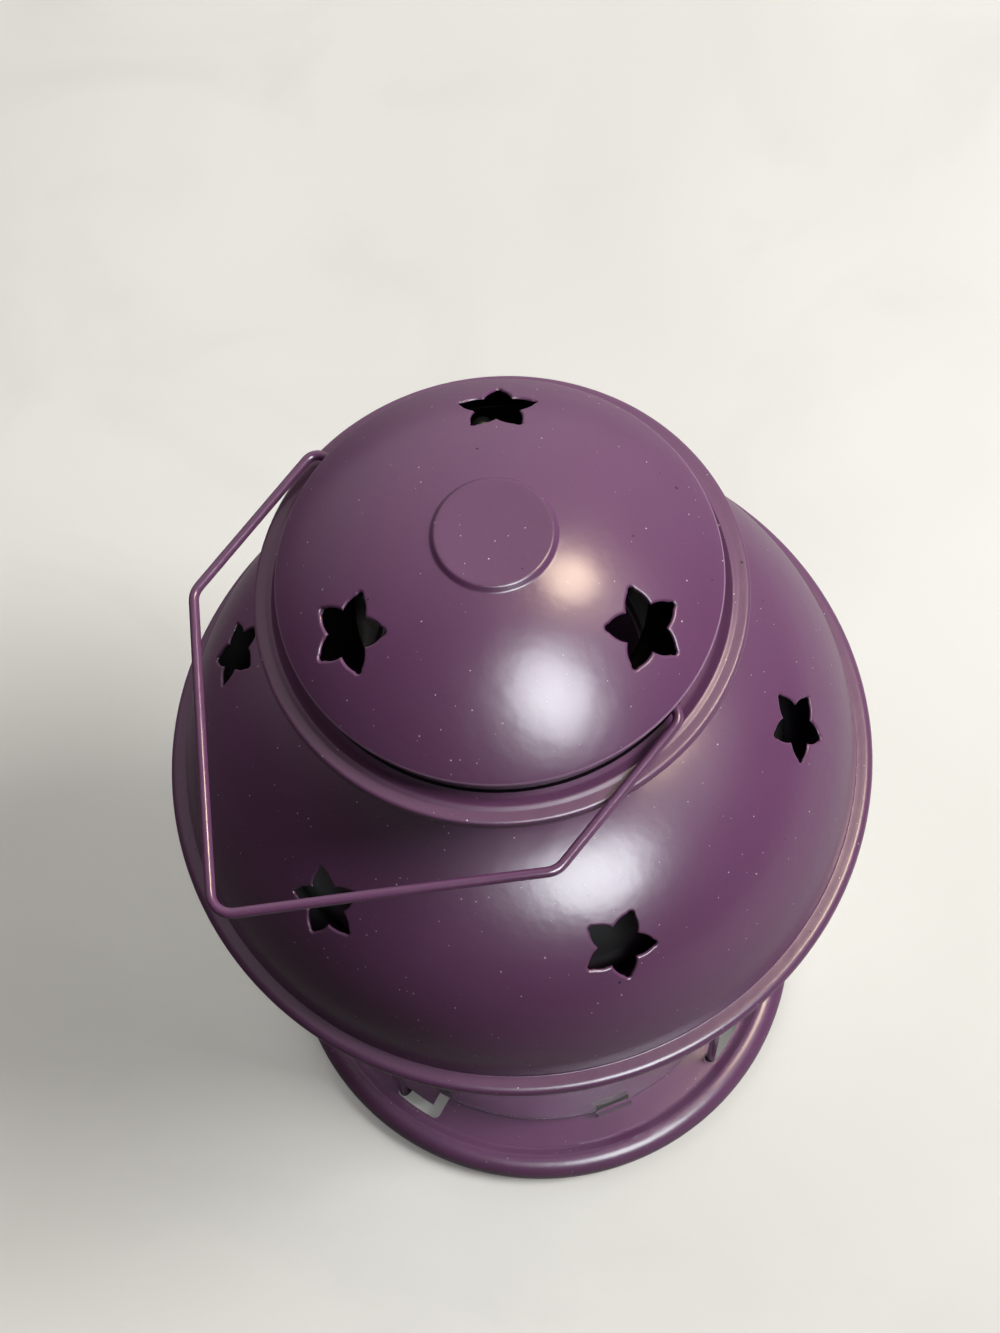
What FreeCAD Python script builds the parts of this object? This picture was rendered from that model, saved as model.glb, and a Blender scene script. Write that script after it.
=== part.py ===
import math
import os
import FreeCAD, Part

# Punched tin lantern for a tealight, in millimetres.
# The origin is on the table, in the middle of the base. Z points up.
# The bail folds toward -Y and its pivots lie along X.

# Sheet, wire and clearances
tin = 0.5
base_tin = 0.6
cup_tin = 0.4
cage_wire = 2.0
bail_wire = 1.6
seat_gap = 0.3
slot_clearance = 0.3
pivot_clearance = 0.06
overrun = 6.0

# Base dish
base_radius = 58.7
base_height = 7.2
base_foot_width = 4.8
base_foot_bend = 3.0
base_crest_width = 4.3
base_crest_bend = 3.6
base_step_width = 2.1
base_inner_bend = 1.2
base_floor_height = 5.2

# Glass chimney
glass_spacing = 4.3
glass_wall = 2.5
glass_height = 130.8
glass_edge_round = 0.8

# Tabs that hold the foot of the glass
tab_count = 3
tab_first_angle = -30.0
tab_width = 8.0
tab_height = 5.0
tab_gap = 0.35

# Candle cup
cup_radius = 20.1
cup_height = 8.0
cup_bend = 1.6
cup_flare = 1.0
cup_flare_height = 0.8

# Upright wires
upright_count = 4
upright_names = ["upright_right", "upright_back", "upright_left", "upright_front"]
upright_inset = 2.0
upright_bend = 1.25
upright_toe = 3.2
upright_hook = 5.0
twist_angle = 10.0

# Glass retainer under the roof
retainer_vent_radius = 21.0
retainer_crown_gap = 0.6
retainer_crown_bend = 2.0
retainer_crown_depth = 7.2
retainer_ledge_bend = 1.2
retainer_rim_depth = 2.4
retainer_rim_bend = 1.0
retainer_fit = 0.05

# Roof
roof_overhang = 5.3
roof_rim_width = 3.15
roof_crown_width = 8.2
roof_rim_drop = 3.3
roof_centre_drop = 3.6
roof_rim_depth = 2.8
roof_rim_tuck = 2.2
roof_groove_bend = 0.5
roof_rim_top_bend = 1.4
roof_rim_low_bend = 1.3
roof_seat_margin = 0.4
roof_opening_lip = 1.0

# Neck between roof and brim
neck_inset = 3.8
neck_height = 27.5
neck_bend = 1.0
neck_low_flange = 4.8
neck_top_margin = 2.0

# Brim
brim_radius = 37.95
brim_slope_width = 2.35
brim_ridge_height = 1.4
brim_ridge_bend = 0.55
brim_ridge_width = 2.5
brim_valley_bend = 0.8
brim_edge_height = 0.2
brim_edge_depth = 1.9
brim_edge_bend = 0.9
brim_edge_tuck = 1.7
brim_opening_gap = 0.2

# Cap
cap_ball_share = 1.436
cap_neck_margin = 0.5
cap_neck_height = 4.8
cap_neck_bend = 0.5
cap_foot_width = 5.8
cap_foot_bend = 0.8
cap_fold_radius = 0.62
cap_overhang = 1.27
cap_disc_radius = 8.7
cap_disc_rise = 1.1
cap_disc_slope = 0.7
cap_disc_bend = 0.8
cap_disc_foot_bend = 0.5

# Star cut-outs
star_tip = 6.3
star_notch = 3.55
star_tip_round = 0.55
star_bulge = 0.28
cap_star_count = 3
cap_star_margin = 8.87
cap_star_angle = 9.1
roof_star_count = 6
roof_star_margin = 12.05
roof_star_angle = 30.0

# Bail
bail_arm_spacing = 3.6
bail_knee_taper = 0.3
bail_knee_reach = 29.6
bail_apex_reach = 65.6
bail_end_inset = 2.6
bail_pivot_rise = 2.6
bail_end_bend = 2.2
bail_knee_bend = 3.4
bail_apex_bend = 3.4
bail_droop = 5.6

# Rivets
rivet_radius = 1.1
rivet_head_share = 1.5
rivet_head_height_share = 0.75
rivet_count = 4
rivet_angle = 45.0
cup_rivet_radius = 1.5

# Radii that follow from the sizes above: base, cage and roof rim
base_foot_inner = base_radius - base_foot_width
base_crest_inner = base_radius - base_crest_width
base_floor_radius = base_crest_inner - base_step_width
upright_radius = base_floor_radius - upright_inset
glass_radius = upright_radius - glass_spacing
roof_radius = base_radius + roof_overhang
roof_groove_radius = roof_radius - roof_rim_width
roof_star_ring = roof_groove_radius - roof_star_margin

# Radii that follow from the brim: cap, bail, neck and the roof's seat
brim_ridge_radius = brim_radius - brim_slope_width
brim_valley_radius = brim_ridge_radius - brim_ridge_width
cap_neck_radius = brim_valley_radius - cap_neck_margin
cap_edge_radius = cap_neck_radius + cap_overhang
cap_ball_radius = cap_edge_radius * cap_ball_share
cap_star_ring = cap_edge_radius - cap_star_margin
cap_foot_inner = cap_neck_radius - cap_foot_width
bail_arm_span = cap_neck_radius + bail_arm_spacing
bail_knee_span = bail_arm_span - bail_knee_taper
neck_radius = cap_foot_inner - neck_inset
neck_top_radius = cap_neck_radius - neck_top_margin
neck_low_radius = neck_radius + neck_low_flange
roof_opening_radius = neck_radius - roof_opening_lip
roof_seat_radius = neck_low_radius + roof_seat_margin
roof_dome_offset = roof_seat_radius - roof_crown_width
roof_dome_radius = math.hypot(roof_groove_radius - roof_dome_offset, roof_centre_drop + tin)

# Heights that follow from the sizes above
glass_top = base_floor_height + glass_height
crown_top = glass_top + seat_gap + tin
ledge_top = crown_top - retainer_crown_depth
roof_rim_top = ledge_top - roof_rim_drop
roof_centre = roof_rim_top - roof_centre_drop
roof_seat = roof_centre + math.sqrt(roof_dome_radius ** 2 - roof_crown_width ** 2)
brim_under = roof_seat + neck_height
brim_top = brim_under + tin
cap_fold_under = brim_top + cap_neck_height
bail_pivot = brim_top + bail_pivot_rise
roof_rivet_ring = neck_radius + (neck_bend + neck_low_flange) / 2
cap_rivet_ring = (cap_foot_inner + neck_top_radius) / 2

axis_x = FreeCAD.Vector(1, 0, 0)
axis_y = FreeCAD.Vector(0, 1, 0)
axis_z = FreeCAD.Vector(0, 0, 1)
origin = FreeCAD.Vector(0, 0, 0)


def section_point(radius, height):
    return FreeCAD.Vector(radius, 0, height)


def bent_line(corners):
    """Edges along the corners, given as (point, bend radius). End corners have no bend."""
    edges = []
    start = corners[0][0]
    for index in range(1, len(corners) - 1):
        corner, bend = corners[index]
        back = (corners[index - 1][0] - corner).normalize()
        ahead = (corners[index + 1][0] - corner).normalize()
        half = back.getAngle(ahead) / 2
        middle = (back + ahead).normalize()
        tangent_in = corner + back * (bend / math.tan(half))
        tangent_out = corner + ahead * (bend / math.tan(half))
        crown = corner + middle * (bend / math.sin(half) - bend)
        edges.append(Part.makeLine(start, tangent_in))
        edges.append(Part.Arc(tangent_in, crown, tangent_out).toShape())
        start = tangent_out
    edges.append(Part.makeLine(start, corners[-1][0]))
    return edges


def sheet_section(edges, thickness):
    """Section of a sheet. The edges are its outer face, the sheet lies to their right."""
    return Part.Wire(edges).makeOffset2D(-thickness, 0, True, True)


def turned_sheet(edges, thickness):
    return sheet_section(edges, thickness).revolve(origin, axis_z, 360)


def disc(radius, low, high):
    return Part.makeCylinder(radius, high - low, FreeCAD.Vector(0, 0, low))


def around(shape, count, first_angle):
    """Copies of a shape at equal steps about Z."""
    copies = []
    for index in range(count):
        copy = shape.copy()
        copy.rotate(origin, axis_z, first_angle + index * 360 / count)
        copies.append(copy)
    return copies


def dome_slope(ring, ball_radius):
    return math.degrees(math.asin(ring / ball_radius))


def star_cutter(depth):
    """Five-pointed star punch along Z, one tip on +X, with bulging sides and round tips."""
    edges = []
    half_step = math.pi / 5
    for arm in range(5):
        turn = 2 * half_step * arm
        outline = []
        side = (star_tip - star_tip_round, star_tip_round)
        bulge = ((star_notch * math.cos(half_step) + side[0]) / 2 + star_bulge / 2,
                 (star_notch * math.sin(half_step) + side[1]) / 2 + star_bulge)
        notch = (star_notch * math.cos(half_step), star_notch * math.sin(half_step))
        for x, y in [(notch[0], -notch[1]), (bulge[0], -bulge[1]), (side[0], -side[1]),
                     (star_tip, 0), side, bulge, notch]:
            outline.append(FreeCAD.Vector(x * math.cos(turn) - y * math.sin(turn),
                                          x * math.sin(turn) + y * math.cos(turn), -depth / 2))
        for first in range(0, 6, 2):
            edges.append(Part.Arc(*outline[first:first + 3]).toShape())
    return Part.Face(Part.Wire(edges)).extrude(axis_z * depth)


def star_holes(count, ring, first_angle, slope, height):
    """Star punches set square to a dome, one tip pointing down the slope."""
    cutter = star_cutter(2 * overrun)
    cutter.rotate(origin, axis_y, slope)
    cutter.translate(section_point(ring, height))
    return around(cutter, count, first_angle)


def round_wire(edges, diameter):
    """Wire of round section along edges that run end to end."""
    spine = Part.Wire(edges)
    start = edges[0].valueAt(edges[0].FirstParameter)
    heading = edges[0].tangentAt(edges[0].FirstParameter)
    section = Part.Wire(Part.makeCircle(diameter / 2, start, heading))
    return spine.makePipeShell([section], True, True)


def rivet(radius, low, high):
    """Rivet with a round head at both ends of its grip."""
    head = radius * rivet_head_share
    rise = radius * rivet_head_height_share
    ball = (head ** 2 + rise ** 2) / (2 * rise)
    half = math.asin(head / ball) / 2
    side = ball * math.sin(half)
    drop = ball - ball * math.cos(half)
    edges = [
        Part.Arc(section_point(0, high + rise),
                 section_point(side, high + rise - drop),
                 section_point(head, high)).toShape(),
        Part.makeLine(section_point(head, high), section_point(radius, high)),
        Part.makeLine(section_point(radius, high), section_point(radius, low)),
        Part.makeLine(section_point(radius, low), section_point(head, low)),
        Part.Arc(section_point(head, low),
                 section_point(side, low - rise + drop),
                 section_point(0, low - rise)).toShape(),
        Part.makeLine(section_point(0, low - rise), section_point(0, high + rise)),
    ]
    return Part.Face(Part.Wire(edges)).revolve(origin, axis_z, 360)


def rivet_ring(ring, low, high):
    one = rivet(rivet_radius, low, high)
    one.translate(section_point(ring, 0))
    return around(one, rivet_count, rivet_angle)


def rivet_holes(ring, low, high):
    hole = Part.makeCylinder(rivet_radius, high - low + 2 * overrun, section_point(ring, low - overrun))
    return around(hole, rivet_count, rivet_angle)


def base_dish():
    """Dish with a rolled foot, slots for the uprights and tabs for the glass."""
    edges = bent_line([
        (section_point(0, base_floor_height), 0),
        (section_point(base_floor_radius, base_floor_height), base_inner_bend),
        (section_point(base_crest_inner, base_height), base_inner_bend),
        (section_point(base_radius, base_height), base_crest_bend),
        (section_point(base_radius, 0), base_foot_bend),
        (section_point(base_foot_inner, 0), 0),
    ])
    dish = turned_sheet(edges, base_tin)
    under = base_floor_height - base_tin
    tab_face = glass_radius + tab_gap
    tab = Part.makeBox(base_tin, tab_width, tab_height + base_tin,
                       FreeCAD.Vector(tab_face, -tab_width / 2, under))
    window = Part.makeBox(tab_height, tab_width, 2 * overrun,
                          FreeCAD.Vector(tab_face - tab_height, -tab_width / 2, under - overrun))
    slot_half = cage_wire / 2 + slot_clearance
    lane = disc(upright_radius + slot_half, under - overrun, under + overrun).cut(
        disc(upright_radius - slot_half, under - 2 * overrun, under + 2 * overrun))
    fan = Part.makeCylinder(base_radius, 2 * overrun, section_point(0, under - overrun), axis_z, twist_angle)
    end = Part.makeCylinder(slot_half, 2 * overrun, section_point(upright_radius, under - overrun))
    key_length = upright_toe + cage_wire / 2 + slot_clearance
    key = Part.makeBox(key_length, 2 * slot_half, 2 * overrun,
                       FreeCAD.Vector(upright_radius - key_length, -slot_half, under - overrun))
    key = key.fuse(end)
    key.rotate(origin, axis_z, twist_angle)
    slot = lane.common(fan).fuse([end, key])
    holes = around(window, tab_count, tab_first_angle) + around(slot, upright_count, 0)
    holes.append(disc(cup_rivet_radius, under - overrun, under + overrun))
    dish = dish.cut(holes)
    return dish.fuse(around(tab, tab_count, tab_first_angle)).removeSplitter()


def candle_cup():
    """Shallow cup that keeps the tealight in the middle."""
    low = base_floor_height
    top = low + cup_height
    edges = bent_line([
        (section_point(cup_radius + cup_flare, top + cup_flare_height), 0),
        (section_point(cup_radius, top), cup_flare),
        (section_point(cup_radius, low), cup_bend),
        (section_point(0, low), 0),
    ])
    cup = turned_sheet(edges, cup_tin)
    return cup.cut(disc(cup_rivet_radius, low - overrun, low + overrun))


def cup_rivet():
    return rivet(cup_rivet_radius, base_floor_height - base_tin, base_floor_height + cup_tin)


def glass_chimney():
    """Open glass cylinder with fire-rounded edges."""
    outer = disc(glass_radius, base_floor_height, glass_top)
    tube = outer.cut(disc(glass_radius - glass_wall, base_floor_height - overrun, glass_top + overrun))
    rims = []
    for edge in tube.Edges:
        if isinstance(edge.Curve, Part.Circle):
            rims.append(edge)
    return tube.makeFillet(glass_edge_round, rims)


def upright():
    """One upright on +X: a toe under the dish and a hook on the retainer's ledge."""
    toe_height = base_floor_height - base_tin - seat_gap - cage_wire / 2
    hook_height = ledge_top + upright_bend
    edges = bent_line([
        (section_point(upright_radius - upright_toe, toe_height), 0),
        (section_point(upright_radius, toe_height), upright_bend),
        (section_point(upright_radius, hook_height), upright_bend),
        (section_point(upright_radius + upright_hook, hook_height), 0),
    ])
    return round_wire(edges, cage_wire)


def glass_retainer():
    """Hat-shaped plate over the glass, its ledge edge seated in the roof."""
    crown = glass_radius + retainer_crown_gap + tin
    inner = roof_dome_radius - tin
    rim = roof_dome_offset + math.sqrt(inner ** 2 - (ledge_top - roof_centre) ** 2) - retainer_fit
    edges = bent_line([
        (section_point(retainer_vent_radius, crown_top), 0),
        (section_point(crown, crown_top), retainer_crown_bend),
        (section_point(crown, ledge_top), retainer_ledge_bend),
        (section_point(rim, ledge_top), retainer_rim_bend),
        (section_point(rim, ledge_top - retainer_rim_depth), 0),
    ])
    plate = turned_sheet(edges, tin)
    hole = Part.makeCylinder(cage_wire / 2, 2 * overrun, section_point(upright_radius, ledge_top - overrun))
    return plate.cut(around(hole, upright_count, 0))


def roof_shell():
    """Wide roof dome with six stars and a rolled rim.

    The dome's radius is larger than the distance of its centre from the axis, which is no plain
    torus, so the section is turned as free curves. Only then do the stars cut cleanly.
    """
    centre = section_point(roof_dome_offset, roof_centre)
    start = section_point(roof_seat_radius, roof_seat)
    end = section_point(roof_groove_radius, roof_rim_top + tin)
    middle = (start + end) / 2 - centre
    middle = centre + middle.normalize() * roof_dome_radius
    edges = [
        Part.makeLine(section_point(roof_opening_radius, roof_seat), start),
        Part.Arc(start, middle, end).toShape(),
    ]
    edges += bent_line([
        (end, 0),
        (section_point(roof_groove_radius, roof_rim_top), roof_groove_bend / 2),
        (section_point(roof_radius, roof_rim_top), roof_rim_top_bend),
        (section_point(roof_radius, roof_rim_top - roof_rim_depth), roof_rim_low_bend),
        (section_point(roof_radius - roof_rim_tuck, roof_rim_top - roof_rim_depth), 0),
    ])
    roof = sheet_section(edges, tin).toNurbs().revolve(origin, axis_z, 360)
    reach = roof_star_ring - roof_dome_offset
    height = roof_centre + math.sqrt(roof_dome_radius ** 2 - reach ** 2)
    stars = star_holes(roof_star_count, roof_star_ring, roof_star_angle,
                       dome_slope(reach, roof_dome_radius), height)
    return roof.cut(stars + rivet_holes(roof_rivet_ring, roof_seat, roof_seat))


def neck_collar():
    """Sheet neck with a flange at both ends."""
    low = roof_seat + tin
    edges = bent_line([
        (section_point(neck_top_radius, brim_under - tin), 0),
        (section_point(neck_radius, brim_under - tin), neck_bend),
        (section_point(neck_radius, low), neck_bend),
        (section_point(neck_low_radius, low), 0),
    ])
    neck = turned_sheet(edges, tin)
    holes = rivet_holes(roof_rivet_ring, low, low) + rivet_holes(cap_rivet_ring, brim_under, brim_under)
    return neck.cut(holes)


def cap_brim():
    """Ring under the cap: flat seat, ridge and rolled edge."""
    edge_top = brim_top + brim_edge_height
    edge_low = edge_top - brim_edge_depth
    edges = bent_line([
        (section_point(neck_radius - tin + brim_opening_gap, brim_top), 0),
        (section_point(brim_valley_radius, brim_top), brim_valley_bend),
        (section_point(brim_ridge_radius, brim_top + brim_ridge_height), brim_ridge_bend),
        (section_point(brim_radius, edge_top), brim_edge_bend),
        (section_point(brim_radius, edge_low), brim_edge_bend),
        (section_point(brim_radius - brim_edge_tuck, edge_low), 0),
    ])
    ring = turned_sheet(edges, tin)
    return ring.cut(rivet_holes(cap_rivet_ring, brim_top, brim_top))


def cap_dome():
    """Small dome with a raised disc, three stars, a folded edge and its own neck."""
    slope = math.asin(cap_edge_radius / cap_ball_radius)
    fold_centre = section_point(cap_edge_radius - cap_fold_radius, cap_fold_under + cap_fold_radius)
    fold_start = fold_centre + section_point(math.sin(slope), math.cos(slope)) * cap_fold_radius
    ball_centre = fold_start.z - math.sqrt(cap_ball_radius ** 2 - fold_start.x ** 2)
    centre = section_point(0, ball_centre)
    disc_foot = cap_disc_radius + cap_disc_slope
    disc_low = ball_centre + math.sqrt(cap_ball_radius ** 2 - disc_foot ** 2)
    ball_start_radius = disc_foot + cap_disc_foot_bend
    ball_start = section_point(ball_start_radius,
                               ball_centre + math.sqrt(cap_ball_radius ** 2 - ball_start_radius ** 2))
    middle = (ball_start + fold_start) / 2 - centre
    middle = centre + middle.normalize() * cap_ball_radius
    edges = bent_line([
        (section_point(0, disc_low + cap_disc_rise), 0),
        (section_point(cap_disc_radius, disc_low + cap_disc_rise), cap_disc_bend),
        (section_point(disc_foot, disc_low), cap_disc_foot_bend),
        (ball_start, 0),
    ])
    edges.append(Part.Arc(ball_start, middle, fold_start).toShape())
    edges.append(Part.Arc(fold_start,
                          fold_centre + section_point(cap_fold_radius, 0),
                          fold_centre - section_point(0, cap_fold_radius)).toShape())
    edges += bent_line([
        (fold_centre - section_point(0, cap_fold_radius), 0),
        (section_point(cap_neck_radius, cap_fold_under), cap_neck_bend / 2),
        (section_point(cap_neck_radius, brim_top), cap_foot_bend),
        (section_point(cap_foot_inner, brim_top), 0),
    ])
    cap = turned_sheet(edges, tin)
    height = ball_centre + math.sqrt(cap_ball_radius ** 2 - cap_star_ring ** 2)
    stars = star_holes(cap_star_count, cap_star_ring, cap_star_angle,
                       dome_slope(cap_star_ring, cap_ball_radius), height)
    bail_hole = Part.makeCylinder(bail_wire / 2 + pivot_clearance, 2 * brim_radius,
                                  FreeCAD.Vector(-brim_radius, 0, bail_pivot), axis_x)
    return cap.cut(stars + [bail_hole] + rivet_holes(cap_rivet_ring, brim_top, brim_top))


def bail_handle():
    """Peaked wire bail, folded down in front, its ends turned into the cap's neck."""
    end = cap_neck_radius - bail_end_inset
    corners = [
        ((end, 0), 0),
        ((bail_arm_span, 0), bail_end_bend),
        ((bail_knee_span, bail_knee_reach), bail_knee_bend),
        ((0, bail_apex_reach), bail_apex_bend),
        ((-bail_knee_span, bail_knee_reach), bail_knee_bend),
        ((-bail_arm_span, 0), bail_end_bend),
        ((-end, 0), 0),
    ]
    path = []
    for (across, reach), bend in corners:
        path.append((FreeCAD.Vector(across, -reach, 0), bend))
    bail = round_wire(bent_line(path), bail_wire)
    bail.rotate(origin, axis_x, bail_droop)
    bail.translate(axis_z * bail_pivot)
    return bail


nodes = {
    "base_dish": base_dish(),
    "candle_cup": candle_cup(),
    "cup_rivet": cup_rivet(),
    "glass_chimney": glass_chimney(),
    "glass_retainer": glass_retainer(),
    "roof_shell": roof_shell(),
    "roof_rivets": Part.makeCompound(rivet_ring(roof_rivet_ring, roof_seat - tin, roof_seat + tin)),
    "neck_collar": neck_collar(),
    "cap_brim": cap_brim(),
    "cap_dome": cap_dome(),
    "cap_rivets": Part.makeCompound(rivet_ring(cap_rivet_ring, brim_under - tin, brim_top + tin)),
    "bail_handle": bail_handle(),
}
for name, wire in zip(upright_names, around(upright(), upright_count, 0)):
    nodes[name] = wire

os.makedirs("parts", exist_ok=True)
for name, shape in nodes.items():
    shape.exportStep("parts/" + name + ".step")
    print(name, shape.isValid(), len(shape.Solids), round(shape.Volume, 1), shape.BoundBox)
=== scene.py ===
import math

import bmesh
import bpy
import numpy as np
from mathutils import Matrix, Vector
from mathutils.geometry import delaunay_2d_cdt


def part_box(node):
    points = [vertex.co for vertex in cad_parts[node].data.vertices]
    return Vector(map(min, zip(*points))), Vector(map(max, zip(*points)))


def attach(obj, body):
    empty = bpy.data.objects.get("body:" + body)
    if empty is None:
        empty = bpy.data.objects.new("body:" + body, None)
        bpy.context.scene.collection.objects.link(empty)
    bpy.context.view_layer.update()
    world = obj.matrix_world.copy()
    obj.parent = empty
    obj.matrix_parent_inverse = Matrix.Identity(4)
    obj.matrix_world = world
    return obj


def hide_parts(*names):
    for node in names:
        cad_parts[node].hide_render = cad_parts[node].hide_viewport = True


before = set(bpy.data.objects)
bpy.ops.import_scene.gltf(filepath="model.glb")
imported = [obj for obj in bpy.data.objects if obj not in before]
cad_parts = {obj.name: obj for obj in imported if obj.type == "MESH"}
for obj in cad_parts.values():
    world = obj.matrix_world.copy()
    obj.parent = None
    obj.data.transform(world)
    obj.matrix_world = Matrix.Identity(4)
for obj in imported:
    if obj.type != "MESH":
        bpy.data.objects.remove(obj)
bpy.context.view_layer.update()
print("frame loaded:", len(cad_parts), "nodes")

# Lengths in the dictionaries are in millimetres, angles in degrees.
mm = 0.001


def roundedLine(corners, step=8.0):
    # Points along corners given as (point, bend radius). It works in a plane and in space.
    points = [np.array(corners[0][0], float)]
    for before, (corner, bend), after in zip(corners, corners[1:], corners[2:]):
        corner = np.array(corner, float)
        back = np.array(before[0], float) - corner
        ahead = np.array(after[0], float) - corner
        back /= np.linalg.norm(back)
        ahead /= np.linalg.norm(ahead)
        half = math.acos(np.clip(back @ ahead, -1, 1)) / 2
        middle = (back + ahead) / np.linalg.norm(back + ahead)
        centre = corner + middle * bend / math.sin(half)
        first = corner + back * bend / math.tan(half) - centre
        last = corner + ahead * bend / math.tan(half) - centre
        sweep = math.pi - 2 * half
        count = max(2, math.ceil(math.degrees(sweep) / step))
        for index in range(count + 1):
            part = index / count * sweep
            spoke = (first * math.sin(sweep - part) + last * math.sin(part)) / math.sin(sweep)
            points.append(centre + spoke)
    points.append(np.array(corners[-1][0], float))
    return points


def densified(points, spacing):
    # The same line with no run longer than the spacing.
    dense = [points[0]]
    for start, end in zip(points, points[1:]):
        length = np.linalg.norm(end - start)
        if length < 1e-6:
            continue
        count = math.ceil(length / spacing)
        for index in range(1, count + 1):
            dense.append(start + (end - start) * index / count)
    return np.array(dense)


def lineNormals(points):
    # Unit normals to the left of the travel, which is the sheet's outer side.
    forward = np.gradient(points, axis=0)
    normals = np.stack([-forward[:, 1], forward[:, 0]], 1)
    return normals / np.linalg.norm(normals, axis=1, keepdims=True)


def arcThrough(start, middle, end, spacing):
    # Points on the circle through three points, without the last one.
    a, b, c = (np.array(p, float) for p in (start, middle, end))
    d = 2 * (a[0] * (b[1] - c[1]) + b[0] * (c[1] - a[1]) + c[0] * (a[1] - b[1]))
    squares = [p @ p for p in (a, b, c)]
    centre = np.array([
        squares[0] * (b[1] - c[1]) + squares[1] * (c[1] - a[1]) + squares[2] * (a[1] - b[1]),
        squares[0] * (c[0] - b[0]) + squares[1] * (a[0] - c[0]) + squares[2] * (b[0] - a[0]),
    ]) / d
    radius = np.linalg.norm(a - centre)
    begin = math.atan2(*(a - centre)[::-1])
    sweep = (math.atan2(*(c - centre)[::-1]) - begin + math.pi) % (2 * math.pi) - math.pi
    count = max(3, math.ceil(abs(sweep) * radius / spacing))
    angles = begin + sweep * np.arange(count) / count
    return [centre + radius * np.array([math.cos(t), math.sin(t)]) for t in angles]


starLook = {
    "tip": 6.3,
    "tipRound": 0.55,
    "notch": 3.55,
    "bulge": 0.28,
    "spacing": 0.24,
    "edgeRound": 0.42,
    "edgeSteps": (18, 36, 54, 72, 90),
    "outerRing": 1.4,
    "clearance": 0.8,
}


def starOutline(look):
    # Five arms with bulging sides and round tips, one tip on +X.
    step = math.pi / 5
    side = (look["tip"] - look["tipRound"], look["tipRound"])
    notch = (look["notch"] * math.cos(step), look["notch"] * math.sin(step))
    bulge = ((notch[0] + side[0]) / 2 + look["bulge"] / 2, (notch[1] + side[1]) / 2 + look["bulge"])
    arm = []
    arm += arcThrough((notch[0], -notch[1]), (bulge[0], -bulge[1]), (side[0], -side[1]), look["spacing"])
    arm += arcThrough((side[0], -side[1]), (look["tip"], 0), side, look["spacing"] / 2)
    arm += arcThrough(side, bulge, notch, look["spacing"])
    points = []
    for index in range(5):
        turn = 2 * step * index
        for x, y in arm:
            points.append((x * math.cos(turn) - y * math.sin(turn),
                           x * math.sin(turn) + y * math.cos(turn)))
    return np.array(points)


def outlineDistance(points, outline):
    # Distance from each point to the closed outline, and whether the point is inside it.
    starts = outline[None, :, :]
    ends = np.roll(outline, -1, 0)[None, :, :]
    here = points[:, None, :]
    along = ends - starts
    share = np.clip(((here - starts) * along).sum(2) / (along ** 2).sum(2), 0, 1)
    distance = np.sqrt((((starts + along * share[..., None]) - here) ** 2).sum(2)).min(1)
    above = (starts[..., 1] > here[..., 1]) != (ends[..., 1] > here[..., 1])
    rise = np.where(along[..., 1] == 0, 1e-12, along[..., 1])
    crossing = starts[..., 0] + (here[..., 1] - starts[..., 1]) / rise * along[..., 0]
    inside = (above & (here[..., 0] < crossing)).sum(1) % 2 == 1
    return distance, inside


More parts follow.
